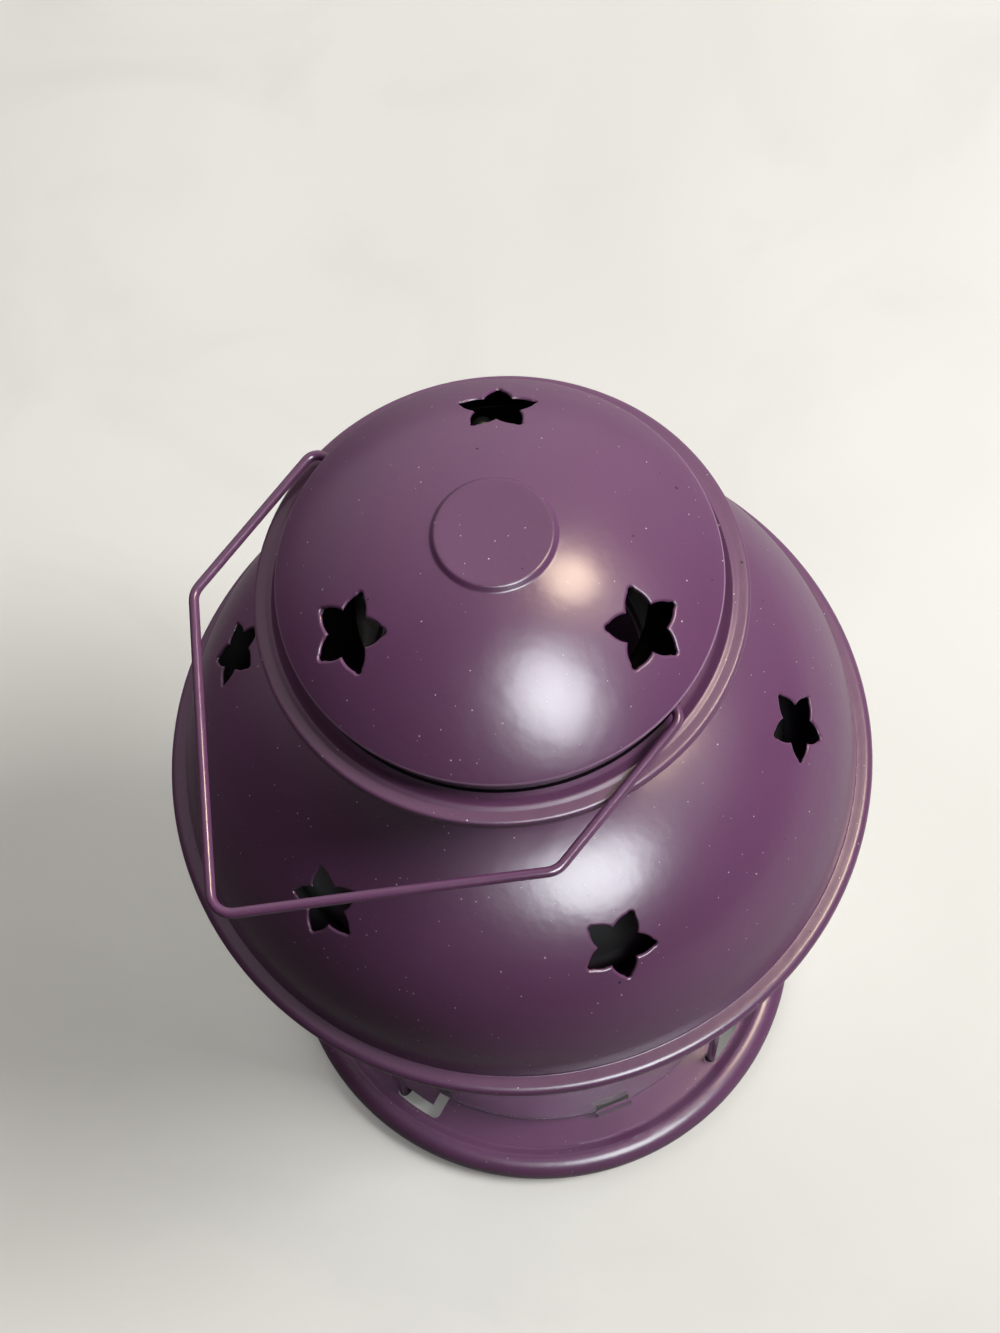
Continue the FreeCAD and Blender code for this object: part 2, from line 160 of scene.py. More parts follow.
def starPatch(look, dome, firstSlope, lastSlope):
    # One sector of a dome with a star in its middle. Returns turn and slope of each point, its
    # distance to the star, and the triangles between the points.
    offset, centreHeight, radius = dome
    ring = look["starRing"]
    slope = math.asin((ring - offset) / radius)
    down = np.array([math.cos(slope), 0, -math.sin(slope)])
    across = np.array([0, 1, 0])
    up = np.array([math.sin(slope), 0, math.cos(slope)])
    centre = np.array([ring, 0, centreHeight + radius * math.cos(slope)])

    def toDome(flat):
        # Points of the flat star, pushed onto the dome, as turn and slope.
        points = centre + flat[:, :1] * down + flat[:, 1:] * across
        for _ in range(12):
            reach = np.hypot(points[:, 0], points[:, 1]) - offset
            away = np.hypot(reach, points[:, 2] - centreHeight) - radius
            points = points - away[:, None] * up
        reach = np.hypot(points[:, 0], points[:, 1]) - offset
        return np.stack([np.arctan2(points[:, 1], points[:, 0]),
                         np.arctan2(reach, points[:, 2] - centreHeight)], 1)

    def toFlat(turnSlope):
        # The way back: points of the dome, seen square to the star.
        reach = offset + radius * np.sin(turnSlope[:, 1])
        places = np.stack([reach * np.cos(turnSlope[:, 0]), reach * np.sin(turnSlope[:, 0]),
                           centreHeight + radius * np.cos(turnSlope[:, 1])], 1) - centre
        return np.stack([places @ down, places @ across], 1)

    outline = starOutline(starLook)
    edgeRadius = starLook["edgeRound"]
    before, after = np.roll(outline, 1, 0), np.roll(outline, -1, 0)
    away = np.stack([(after - before)[:, 1], -(after - before)[:, 0]], 1)
    away /= np.linalg.norm(away, axis=1, keepdims=True)
    rings = []
    reaches = [edgeRadius * (1 - math.cos(math.radians(a))) for a in starLook["edgeSteps"]]
    for reach in reaches + [edgeRadius * starLook["outerRing"]]:
        points = outline + away * reach
        # In the notches, points that come closer to the next arm than to their own are left out.
        distance, inside = outlineDistance(points, outline)
        rings.append(points[(distance > reach * 0.96) & ~inside])
    rings = toDome(np.concatenate(rings))
    half = math.pi / look["stars"]
    turns = np.linspace(-half, half, look["columns"] // look["stars"] + 1)
    rows = math.ceil(radius * (lastSlope - firstSlope) / look["rowSpacing"])
    slopes = np.linspace(firstSlope, lastSlope, rows + 1)
    grid = np.stack(np.meshgrid(turns, slopes, indexing="ij"), 2).reshape(-1, 2)
    distance, inside = outlineDistance(toFlat(grid), outline)
    grid = grid[(distance > starLook["clearance"]) & ~inside]
    everything = np.concatenate([toDome(outline), rings, grid])
    # Turns and slopes become lengths along the dome before the points are joined to triangles.
    scale = np.array([ring, radius])
    count = len(outline)
    ringEdges = [(i, (i + 1) % count) for i in range(count)]
    joined, _, triangles, *_ = delaunay_2d_cdt(
        [Vector(p) for p in everything * scale], ringEdges, [], 0, 1e-6)
    joined = np.array([tuple(p) for p in joined]) / scale
    triangles = np.array([t for t in triangles if len(t) == 3])
    flat = toFlat(joined)
    _, hole = outlineDistance(flat[triangles].mean(1), outline)
    distance, _ = outlineDistance(flat, outline)
    return joined, distance, triangles[~hole]


weldLook = {"weld": 0.002, "sliver": 0.0005}


def weldedMesh(name, points, faces, skins, finishes):
    # One closed mesh in metres from points in millimetres. Each face says which finish it has.
    mesh = bpy.data.meshes.new(name)
    mesh.from_pydata([tuple(p * mm) for p in points], [], faces)
    mesh.polygons.foreach_set("material_index", skins)
    work = bmesh.new()
    work.from_mesh(mesh)
    bmesh.ops.remove_doubles(work, verts=work.verts, dist=weldLook["weld"] * mm)
    bmesh.ops.dissolve_degenerate(work, edges=work.edges, dist=weldLook["sliver"] * mm)
    bmesh.ops.recalc_face_normals(work, faces=work.faces)
    openEdges = sum(not edge.is_manifold for edge in work.edges)
    work.to_mesh(mesh)
    work.free()
    mesh.shade_smooth()
    for finish in finishes:
        mesh.materials.append(finish)
    print(name, len(mesh.polygons), "faces,", openEdges, "open edges")
    piece = bpy.data.objects.new(name, mesh)
    bpy.context.scene.collection.objects.link(piece)
    return piece


def uneven(points, wave, seed):
    # A hand-fed press leaves slow waves in the sheet.
    turn = np.arctan2(points[:, 1], points[:, 0])
    reach = np.hypot(points[:, 0], points[:, 1])
    rng = np.random.default_rng(seed)
    lift = np.zeros(len(points))
    swell = np.zeros(len(points))
    for waves in (2, 3, 5, 7, 11):
        start, pace = rng.uniform(0, 6.28), rng.uniform(0.02, 0.08)
        lift += np.sin(waves * turn + start + reach * pace) / waves
        start, pace = rng.uniform(0, 6.28), rng.uniform(0.02, 0.08)
        swell += np.sin(waves * turn + start + points[:, 2] * pace) / waves
    share = np.clip(reach / reach.max(), 0, 1)
    moved = points.copy()
    moved[:, 2] += wave * lift * share
    moved[:, 0] += wave * swell * share * np.cos(turn)
    moved[:, 1] += wave * swell * share * np.sin(turn)
    return moved


def turnedSheet(name, runs, look, finishes, patch=None):
    # A sheet turned about Z from runs of section points, with a starred dome between two runs.
    points, faces, skins = [], [], []
    total = 0
    columns = look["columns"]
    phase = math.radians(look["starAngle"]) - math.pi / look["stars"] if patch else 0.0
    turns = phase + 2 * math.pi * np.arange(columns) / columns

    def addRows(line, within):
        nonlocal total
        block = np.stack([np.outer(line[:, 0], np.cos(turns)), np.outer(line[:, 0], np.sin(turns)),
                          np.repeat(line[:, 1:2], columns, 1)], 2)
        points.append(block.reshape(-1, 3))
        for row in range(len(line) - 1):
            for column in range(columns):
                beside = (column + 1) % columns
                low, high = total + row * columns, total + (row + 1) * columns
                faces.append((low + column, high + column, high + beside, low + beside))
                reach = line[row][0]
                # Inner skins, and rows inside shadedRadius, get finish 1, the painted shade.
                if within or reach < look.get("shadedRadius", 0):
                    skins.append(1)
                else:
                    # Past the highlight radius the rows get finish 2, the lighter paint of a painted
                    # highlight.
                    skins.append(2 if reach > look.get("paintedHighlightRadius", math.inf) else 0)
        total += len(block.reshape(-1, 3))

    for order, line in enumerate(runs):
        normals = lineNormals(line)
        if patch:
            # Where a run meets the dome it takes the dome's own direction, so the skins meet.
            joint = -1 if order == 0 else 0
            outward = line[joint] - np.array(patch[0][:2])
            normals[joint] = outward / np.linalg.norm(outward)
        addRows(line, False)
        addRows(line - normals * look["tin"], True)
    # Where the sheet doesn't end on the axis, its two skins are joined by its edge.
    for line, index in ((runs[0], 0), (runs[-1], -1)):
        if line[index][0] > 0:
            normal = lineNormals(line)[index]
            addRows(np.array([line[index], line[index] - normal * look["tin"]]), False)
    if patch:
        (offset, centreHeight, radius), sector, distance, triangles = patch
        # The coating rounds the punched edge from above, and the inner skin meets it at the outline.
        edge = starLook["edgeRound"]
        rounded = edge - np.sqrt(np.maximum(0, edge ** 2 - (edge - distance) ** 2))
        depth = np.where(distance < edge, rounded, 0)
        onOutline = distance < 1e-4
        innerDepth = np.where(onOutline, edge, look["tin"])
        for index in range(look["stars"]):
            turn = sector[:, 0] + math.radians(look["starAngle"]) + 2 * math.pi * index / look["stars"]
            # The inner skin gets the painted shade coat.
            for inward, within in ((depth, False), (innerDepth, True)):
                reach = offset + (radius - inward) * np.sin(sector[:, 1])
                height = centreHeight + (radius - inward) * np.cos(sector[:, 1])
                points.append(np.stack([reach * np.cos(turn), reach * np.sin(turn), height], 1))
                faces.extend(tuple(int(v) + total for v in triangle) for triangle in triangles)
                skins.extend([int(within)] * len(triangles))
                total += len(sector)
    waved = uneven(np.concatenate(points), look["wave"], look["seed"])
    return weldedMesh(name, waved, faces, skins, finishes)


def srgb(code):
    # Colour of a hex code as the linear values that shaders take.
    values = [int(code[i:i + 2], 16) / 255 for i in (0, 2, 4)]
    linear = [v / 12.92 if v <= 0.04045 else ((v + 0.055) / 1.055) ** 2.4 for v in values]
    return (*linear, 1.0)


def patternScale(size):
    # Scale of a noise or cell pattern whose features have this size in millimetres.
    return 1 / (size * mm)


def newMaterial(name):
    # An empty material and its node tree.
    material = bpy.data.materials.new(name)
    material.use_nodes = True
    material.node_tree.nodes.clear()
    return material, material.node_tree


def addNode(tree, kind, inputs=None, out=0, **settings):
    # Adds a node, sets its properties, fills or links its inputs by name or number, and gives back
    # one of its outputs. By number, Map Range has its old ends at 1 and 2 and its new ends at 3 and
    # 4, and Mix has two numbers at 2 and 3 and two colours at 6 and 7.
    node = tree.nodes.new(kind)
    for name, value in settings.items():
        setattr(node, name, value)
    for name, value in (inputs or {}).items():
        if isinstance(value, bpy.types.NodeSocket):
            tree.links.new(value, node.inputs[name])
        else:
            node.inputs[name].default_value = value
    return node.outputs[out] if len(node.outputs) else None


# Sizes of the patterns in millimetres. Orange peel and dust are drawn a little coarser than they
# are, or they would be lost between the pixels.
paintLook = {
    "toneDrift": 36.0,
    "grain": 0.31,
    "orangePeel": 1.1,
    "slowDents": 6.0,
    "dustCell": 1.1,
    "pinholeCell": 2.0,
    "peelDepth": 0.018,
    "dentDepth": 0.08,
    "dustHeight": 0.06,
    "chipPlace": (14.91, 13.46, 206.0),
    "chipRadius": 0.42,
    "chipRagged": 0.5,
    "grainColour": "9a7393",
    "dustColour": "e6dde0",
    "bareColour": "120b11",
    "roughness": (0.28, 0.34),
    "coat": 0.12,
    "coatRoughness": 0.16,
}


def paintMaterial(name, base, deep, dust, dull):
    # Sprayed and baked powder coat: orange peel ripples its shine, slow dents bend the highlights, the
    # tone drifts a little, dust has settled on it, and it has pinholes and one chip on the cap.
    material, tree = newMaterial(name)
    look = paintLook
    place = addNode(tree, "ShaderNodeTexCoord", out="Object")
    drift = addNode(tree, "ShaderNodeTexNoise", {
        "Vector": place, "Scale": patternScale(look["toneDrift"]), "Detail": 3.0})
    grain = addNode(tree, "ShaderNodeTexNoise", {
        "Vector": place, "Scale": patternScale(look["grain"]), "Detail": 2.0})
    peel = addNode(tree, "ShaderNodeTexNoise", {
        "Vector": place, "Scale": patternScale(look["orangePeel"]), "Detail": 2.0})
    dent = addNode(tree, "ShaderNodeTexNoise", {
        "Vector": place, "Scale": patternScale(look["slowDents"]), "Detail": 2.0})
    share = addNode(tree, "ShaderNodeMapRange", {"Value": drift, 1: 0.1, 2: 0.9, 3: 0.0, 4: 1.0})
    tone = addNode(tree, "ShaderNodeMix", {"Factor": share, 6: srgb(deep), 7: srgb(base)},
                   out=2, data_type="RGBA")
    share = addNode(tree, "ShaderNodeMapRange", {"Value": grain, 1: 0.4, 2: 0.75, 3: 0.0, 4: 0.06})
    tone = addNode(tree, "ShaderNodeMix", {"Factor": share, 6: tone, 7: srgb(look["grainColour"])},
                   out=2, data_type="RGBA")
    # Dust: one pale speck in a few of the cells.
    cells = addNode(tree, "ShaderNodeTexVoronoi", {
        "Vector": place, "Scale": patternScale(look["dustCell"])}).node.outputs
    lucky = addNode(tree, "ShaderNodeSeparateColor", {0: cells["Color"]})
    size = addNode(tree, "ShaderNodeMapRange", {
        "Value": lucky, 1: 1.0 - dust, 2: 1.0, 3: 0.02, 4: 0.11})
    speck = addNode(tree, "ShaderNodeMath", {0: cells["Distance"], 1: size}, operation="LESS_THAN")
    tone = addNode(tree, "ShaderNodeMix", {"Factor": speck, 6: tone, 7: srgb(look["dustColour"])},
                   out=2, data_type="RGBA")
    # Pinholes in rare cells, and the chip.
    holes = addNode(tree, "ShaderNodeTexVoronoi", {
        "Vector": place, "Scale": patternScale(look["pinholeCell"])}).node.outputs
    rare = addNode(tree, "ShaderNodeSeparateColor", {0: holes["Color"]}, out=1)
    size = addNode(tree, "ShaderNodeMapRange", {"Value": rare, 1: 0.97, 2: 1.0, 3: 0.0, 4: 0.12})
    pinhole = addNode(tree, "ShaderNodeMath", {0: holes["Distance"], 1: size}, operation="LESS_THAN")
    toChip = addNode(tree, "ShaderNodeVectorMath", {0: place, 1: Vector(look["chipPlace"]) * mm},
                     out="Value", operation="DISTANCE")
    ragged = addNode(tree, "ShaderNodeMath", {0: grain, 1: look["chipRagged"] * mm, 2: toChip},
                     operation="MULTIPLY_ADD")
    chip = addNode(tree, "ShaderNodeMath", {0: ragged, 1: look["chipRadius"] * mm},
                   operation="LESS_THAN")
    bare = addNode(tree, "ShaderNodeMath", {0: pinhole, 1: chip}, operation="MAXIMUM")
    tone = addNode(tree, "ShaderNodeMix", {"Factor": bare, 6: tone, 7: srgb(look["bareColour"])},
                   out=2, data_type="RGBA")
    low, high = look["roughness"]
    rough = addNode(tree, "ShaderNodeMapRange", {
        "Value": drift, 1: 0.1, 2: 0.9, 3: low + dull, 4: high + dull})
    rough = addNode(tree, "ShaderNodeMath", {0: speck, 1: 0.5, 2: rough}, operation="MULTIPLY_ADD")
    skin = addNode(tree, "ShaderNodeBump", {
        "Height": dent, "Strength": 1.0, "Distance": look["dentDepth"] * mm})
    skin = addNode(tree, "ShaderNodeBump", {
        "Height": peel, "Strength": 1.0, "Distance": look["peelDepth"] * mm, "Normal": skin})
    skin = addNode(tree, "ShaderNodeBump", {
        "Height": speck, "Strength": 0.5, "Distance": look["dustHeight"] * mm, "Normal": skin})
    shader = addNode(tree, "ShaderNodeBsdfPrincipled", {
        "Base Color": tone, "Roughness": rough, "Normal": skin, "Metallic": 0.0,
        "Specular IOR Level": 0.5, "Coat Weight": look["coat"],
        "Coat Roughness": look["coatRoughness"] + dull})
    addNode(tree, "ShaderNodeOutputMaterial", {"Surface": shader})
    return material


# Both tones are near-black painted shade, patched at random.
paintedShadeLook = {"patches": 17.0, "grain": 0.67, "grainDepth": 0.03, "thin": "0a070a", "thick": "120c11"}


def paintedShadeMaterial():
    # A dark, dull and patchy coat on the insides: painted shade that stands in for the dark inside of
    # the lantern, so that the holes look black.
    material, tree = newMaterial("painted shade on the insides")
    look = paintedShadeLook
    place = addNode(tree, "ShaderNodeTexCoord", out="Object")
    patches = addNode(tree, "ShaderNodeTexNoise", {
        "Vector": place, "Scale": patternScale(look["patches"]), "Detail": 4.0})
    grain = addNode(tree, "ShaderNodeTexNoise", {
        "Vector": place, "Scale": patternScale(look["grain"]), "Detail": 2.0})
    share = addNode(tree, "ShaderNodeMapRange", {"Value": patches, 1: 0.35, 2: 0.7, 3: 0.0, 4: 1.0})
    tone = addNode(tree, "ShaderNodeMix", {
        "Factor": share, 6: srgb(look["thin"]), 7: srgb(look["thick"])}, out=2, data_type="RGBA")
    rough = addNode(tree, "ShaderNodeMapRange", {"Value": patches, 1: 0.3, 2: 0.7, 3: 0.5, 4: 0.65})
    skin = addNode(tree, "ShaderNodeBump", {
        "Height": grain, "Strength": 0.6, "Distance": look["grainDepth"] * mm})
    shader = addNode(tree, "ShaderNodeBsdfPrincipled", {
        "Base Color": tone, "Roughness": rough, "Normal": skin, "Specular IOR Level": 0.03})
    addNode(tree, "ShaderNodeOutputMaterial", {"Surface": shader})
    return material


glassLook = {"streakWidth": 8.0, "streakLength": 170.0, "streakDepth": 0.1, "haze": 22.0,
             "tint": "f9fdfb", "ior": 1.52}


def glassMaterial():
    # Drawn soda-lime tube: a trace of green, and faint streaks along its length that ripple what is
    # seen through it.
    material, tree = newMaterial("soda-lime glass")
    look = glassLook
    place = addNode(tree, "ShaderNodeTexCoord", out="Object")
    across, along = patternScale(look["streakWidth"]), patternScale(look["streakLength"])
    stretched = addNode(tree, "ShaderNodeMapping", {"Vector": place, "Scale": (across, across, along)})
    streaks = addNode(tree, "ShaderNodeTexNoise", {"Vector": stretched, "Scale": 1.0, "Detail": 2.0})
    haze = addNode(tree, "ShaderNodeTexNoise", {
        "Vector": place, "Scale": patternScale(look["haze"]), "Detail": 4.0})
    rough = addNode(tree, "ShaderNodeMapRange", {"Value": haze, 1: 0.35, 2: 0.75, 3: 0.0, 4: 0.06})
    skin = addNode(tree, "ShaderNodeBump", {
        "Height": streaks, "Strength": 0.15, "Distance": look["streakDepth"] * mm})
    shader = addNode(tree, "ShaderNodeBsdfPrincipled", {
        "Base Color": srgb(look["tint"]), "Roughness": rough, "Normal": skin,
        "IOR": look["ior"], "Transmission Weight": 1.0})
    addNode(tree, "ShaderNodeOutputMaterial", {"Surface": shader})
    return material


tinplateLook = {"rollLength": 5.6, "rollWidth": 0.42, "rollHeight": 1.1, "rollDepth": 0.03, "bloom": 5.3,
                "bright": "c9c8c4", "dull": "9d9b97"}


def tinplateMaterial():
    # Bare tinplate: the rolling grain drags the shine one way, and dull bloom makes it cloudy.
    material, tree = newMaterial("bare tinplate")
    look = tinplateLook
    place = addNode(tree, "ShaderNodeTexCoord", out="Object")
    grainScale = [patternScale(look[side]) for side in ("rollLength", "rollWidth", "rollHeight")]
    stretched = addNode(tree, "ShaderNodeMapping", {"Vector": place, "Scale": grainScale})
    rolled = addNode(tree, "ShaderNodeTexNoise", {"Vector": stretched, "Scale": 1.0, "Detail": 3.0})
    bloom = addNode(tree, "ShaderNodeTexNoise", {
        "Vector": place, "Scale": patternScale(look["bloom"]), "Detail": 4.0})
    share = addNode(tree, "ShaderNodeMapRange", {"Value": bloom, 1: 0.35, 2: 0.7, 3: 0.0, 4: 1.0})
    tone = addNode(tree, "ShaderNodeMix", {
        "Factor": share, 6: srgb(look["bright"]), 7: srgb(look["dull"])}, out=2, data_type="RGBA")
    rough = addNode(tree, "ShaderNodeMapRange", {"Value": bloom, 1: 0.3, 2: 0.7, 3: 0.28, 4: 0.5})
    skin = addNode(tree, "ShaderNodeBump", {
        "Height": rolled, "Strength": 0.3, "Distance": look["rollDepth"] * mm})
    shader = addNode(tree, "ShaderNodeBsdfPrincipled", {
        "Base Color": tone, "Roughness": rough, "Normal": skin, "Metallic": 1.0})
    addNode(tree, "ShaderNodeOutputMaterial", {"Surface": shader})
    return material


def towards(turn, height):
    # Unit direction from angles in degrees.
    turn, rise = math.radians(turn), math.radians(height)
    return Vector((math.cos(turn) * math.cos(rise), math.sin(turn) * math.cos(rise), math.sin(rise)))


floorLook = {
    "size": 16000.0,
    "centre": (-100.0, 100.0),
    "clouds": 250.0,
    "wisps": 90.0,
    "tones": ("e6e3dc", "f2efe9", "dad8d2"),
    # Tone that the lantern gets from the board in its light and shine, a painted shade.
    "dark": "383634",
    "paintedGlowColour": "f4f3f0",
    "litSide": 62.0,
    "reach": 200.0,
    # Strength of the painted glow, from the side away from the light to the lit side.
    "lift": (0.085, 0.18),
    # Share of the pale tone in the lantern's shine, from the dark side to the lit side: a painted
    # reflection.
    "mirrored": (0.05, 0.75),
    "fadeFrom": 700.0,
    "fadeTo": 3500.0,
    "fade": 0.38,
}


def floorMaterial():
    # Pale painted board with faint grey clouds. It looks pale, but gives the lantern less light than
    # that:
    # to rays other than the camera's it is dark, which paints shade on the lantern.
    material, tree = newMaterial("pale painted board")
    look = floorLook
    grey, pale, wispy = (srgb(code) for code in look["tones"])
    place = addNode(tree, "ShaderNodeTexCoord", out="Object")
    rays = addNode(tree, "ShaderNodeLightPath").node.outputs
    clouds = addNode(tree, "ShaderNodeTexNoise", {
        "Vector": place, "Scale": patternScale(look["clouds"]), "Detail": 3.0, "Distortion": 0.6})
    wisps = addNode(tree, "ShaderNodeTexNoise", {
        "Vector": place, "Scale": patternScale(look["wisps"]), "Detail": 4.0, "Distortion": 1.2})
    share = addNode(tree, "ShaderNodeMapRange", {"Value": clouds, 1: 0.35, 2: 0.65, 3: 0.0, 4: 1.0})
    tone = addNode(tree, "ShaderNodeMix", {"Factor": share, 6: grey, 7: pale}, out=2, data_type="RGBA")
    share = addNode(tree, "ShaderNodeMapRange", {"Value": wisps, 1: 0.5, 2: 0.75, 3: 0.0, 4: 0.4})
    tone = addNode(tree, "ShaderNodeMix", {"Factor": share, 6: tone, 7: wispy}, out=2, data_type="RGBA")
    # Painted reflection: in the lantern's shine the board is lighter towards the lit part of the room.
    side = addNode(tree, "ShaderNodeVectorMath", {0: place, 1: towards(look["litSide"], 0)},
                   out="Value", operation="DOT_PRODUCT")
    reach = look["reach"] * mm
    mirrored = addNode(tree, "ShaderNodeMapRange", {
        "Value": side, 1: -reach, 2: reach, 3: look["mirrored"][0], 4: look["mirrored"][1]})
    seen = addNode(tree, "ShaderNodeMath", {0: rays["Is Camera Ray"], 1: rays["Is Transmission Ray"]},
                   operation="MAXIMUM")
    seen = addNode(tree, "ShaderNodeMath", {0: rays["Is Glossy Ray"], 1: mirrored, 2: seen},
                   operation="MULTIPLY_ADD")
    # Rays other than the camera's see the dark tone, a painted shade on the lantern; its shine sees more
    # pale tone towards the lit side.
    tone = addNode(tree, "ShaderNodeMix", {"Factor": seen, 6: srgb(look["dark"]), 7: tone},
                   out=2, data_type="RGBA")
    # Painted light: a glow that only the camera sees lifts the board's shade, more towards the lit side.
    # Far off, the board fades into the backdrop.
    lift = addNode(tree, "ShaderNodeMapRange", {
        "Value": side, 1: -reach, 2: reach, 3: look["lift"][0], 4: look["lift"][1]})
    away = addNode(tree, "ShaderNodeVectorMath", {0: place}, out="Value", operation="LENGTH")
    fade = addNode(tree, "ShaderNodeMapRange", {
        "Value": away, 1: look["fadeFrom"] * mm, 2: look["fadeTo"] * mm, 3: 0.0, 4: look["fade"]})
    lift = addNode(tree, "ShaderNodeMath", {0: lift, 1: fade}, operation="ADD")
    lift = addNode(tree, "ShaderNodeMath", {0: rays["Is Camera Ray"], 1: lift}, operation="MULTIPLY")
    shader = addNode(tree, "ShaderNodeBsdfPrincipled", {
        "Base Color": tone, "Roughness": 0.6, "Specular IOR Level": 0.2,
        "Emission Color": srgb(look["paintedGlowColour"]), "Emission Strength": lift})
    addNode(tree, "ShaderNodeOutputMaterial", {"Surface": shader})
    return material


# The same coat with the tone, dust and shine that it has on each kind of piece. The light one is a
# painted highlight along the cap's folded edge.
paints = {
    "powder-coated steel": {"base": "76486f", "deep": "6c4266", "dust": 0.3, "dull": 0.0},
    "satin powder-coated steel": {"base": "794b71", "deep": "6f4468", "dust": 0.3, "dull": 0.03},
    "powder-coated wire": {"base": "784a70", "deep": "6d4366", "dust": 0.02, "dull": -0.09},
    "dull powder-coated steel": {"base": "805078", "deep": "70466a", "dust": 0.1, "dull": 0.45},
    # A painted highlight: lighter and glossier paint that makes the light line along the cap's folded
    # edge.
    "painted highlight on the folded edge": {"base": "a381a0", "deep": "987494", "dust": 0.02, "dull": -0.09},
}
paint, brimPaint, wirePaint, hiddenPaint, foldHighlightPaint = (
    paintMaterial(name, **values) for name, values in paints.items())
# Painted shade on the inner skins, on the brim's seat under the cap, and inside the neck.
paintedShadeCoat = paintedShadeMaterial()
glass = glassMaterial()
tinplate = tinplateMaterial()
print("materials made")


def wireNodes():
    # A path becomes a round wire with closed ends.
    tree = bpy.data.node_groups.new("wireAlongPath", "GeometryNodeTree")
    tree.interface.new_socket("Geometry", in_out="INPUT", socket_type="NodeSocketGeometry")
    tree.interface.new_socket("wireRadius", in_out="INPUT", socket_type="NodeSocketFloat")
    tree.interface.new_socket("sides", in_out="INPUT", socket_type="NodeSocketInt")
    tree.interface.new_socket("finish", in_out="INPUT", socket_type="NodeSocketMaterial")
    tree.interface.new_socket("Geometry", in_out="OUTPUT", socket_type="NodeSocketGeometry")
    entry = addNode(tree, "NodeGroupInput").node.outputs
    path = addNode(tree, "GeometryNodeMeshToCurve", {"Mesh": entry["Geometry"]})
    section = addNode(tree, "GeometryNodeCurvePrimitiveCircle", {
        "Resolution": entry["sides"], "Radius": entry["wireRadius"]})
    wire = addNode(tree, "GeometryNodeCurveToMesh", {
        "Curve": path, "Profile Curve": section, "Fill Caps": True})
    smooth = addNode(tree, "GeometryNodeSetShadeSmooth", {"Geometry": wire})
    real = addNode(tree, "GeometryNodeRealizeInstances", {"Geometry": smooth})
    finish = addNode(tree, "GeometryNodeSetMaterial", {"Geometry": real, "Material": entry["finish"]})
    addNode(tree, "NodeGroupOutput", {"Geometry": finish})
    return tree


def wireAlong(name, path, look, material):
    # Runs the wire nodes along points in metres and keeps the finished mesh.
    line = bpy.data.meshes.new(name + "Path")
    line.from_pydata([tuple(p) for p in path], [(i, i + 1) for i in range(len(path) - 1)], [])
    holder = bpy.data.objects.new(name + "Path", line)
    bpy.context.scene.collection.objects.link(holder)
    modifier = holder.modifiers.new("wire", "NODES")
    modifier.node_group = wireNodes()
    values = {"wireRadius": look["wire"] / 2 * mm, "sides": look["sides"], "finish": material}
    for socket in modifier.node_group.interface.items_tree:
        if socket.in_out == "INPUT" and socket.name in values:
            modifier[socket.identifier] = values[socket.name]
    bpy.context.view_layer.update()
    made = bpy.data.meshes.new_from_object(holder.evaluated_get(bpy.context.evaluated_depsgraph_get()))
    holder.modifiers.remove(modifier)
    bpy.data.objects.remove(holder)
    piece = bpy.data.objects.new(name, made)
    bpy.context.scene.collection.objects.link(piece)
    return piece


capLook = {
    "tin": 0.5,
    "ballRadius": 48.64,
    "edgeRadius": 33.87,
    "foldRadius": 0.68,
    # Past this radius the fold gets the lighter paint, a painted highlight.
    "paintedHighlightRadius": 33.5,
    "neckRadius": 32.6,
    "neckHeight": 4.8,
    "neckBend": 0.25,
    "footInner": 26.8,
    "footBend": 0.8,
    "discRadius": 8.7,
    "discRise": 0.75,
    "discSlope": 0.7,
    "discBend": 0.6,
    "discFootBend": 0.6,
    "discMargin": 0.5,
    "stars": 3,
    "starRing": 25.0,
    "starAngle": 9.1,
    "columns": 252,
    "rowSpacing": 0.9,
    "rowStep": 0.7,
    "foldPoints": 22,
    "wave": 0.035,
    "seed": 11,
}


def makeCap(look):
    # A raised disc, a ball-shaped dome with three stars, an edge folded under, and the cap's own neck.
    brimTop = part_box("cap_dome")[0].z / mm
    foldUnder = brimTop + look["neckHeight"]
    slope = math.asin(look["edgeRadius"] / look["ballRadius"])
    foldCentre = np.array([look["edgeRadius"] - look["foldRadius"], foldUnder + look["foldRadius"]])
    foldStart = foldCentre + look["foldRadius"] * np.array([math.sin(slope), math.cos(slope)])
    radius = look["ballRadius"]
    centreHeight = foldStart[1] - math.sqrt(radius ** 2 - foldStart[0] ** 2)
    discFoot = look["discRadius"] + look["discSlope"]
    discLow = centreHeight + math.sqrt(radius ** 2 - discFoot ** 2)
    discTop = discLow + look["discRise"]
    firstSlope = math.asin((discFoot + look["discMargin"]) / radius)
    lastSlope = math.asin(foldStart[0] / radius)
    domeStart = (radius * math.sin(firstSlope), centreHeight + radius * math.cos(firstSlope))
    top = roundedLine([
        ((0, discTop), 0),
        ((look["discRadius"], discTop), look["discBend"]),
        ((discFoot, discLow), look["discFootBend"]),
        (domeStart, 0),
    ])
    fold = []
    for angle in np.linspace(math.pi / 2 - slope, -math.pi / 2, look["foldPoints"]):
        fold.append(foldCentre + look["foldRadius"] * np.array([math.cos(angle), math.sin(angle)]))
    under = fold + roundedLine([
        (fold[-1], 0),
        ((look["neckRadius"], foldUnder), look["neckBend"]),
        ((look["neckRadius"], brimTop), look["footBend"]),
        ((look["footInner"], brimTop), 0),
    ])[1:]
    dome = (0.0, centreHeight, radius)
    patch = (dome, *starPatch(look, dome, firstSlope, lastSlope))
    runs = [densified(line, look["rowStep"]) for line in (top, under)]
    return turnedSheet("capSheet", runs, look, [paint, paintedShadeCoat, foldHighlightPaint], patch)


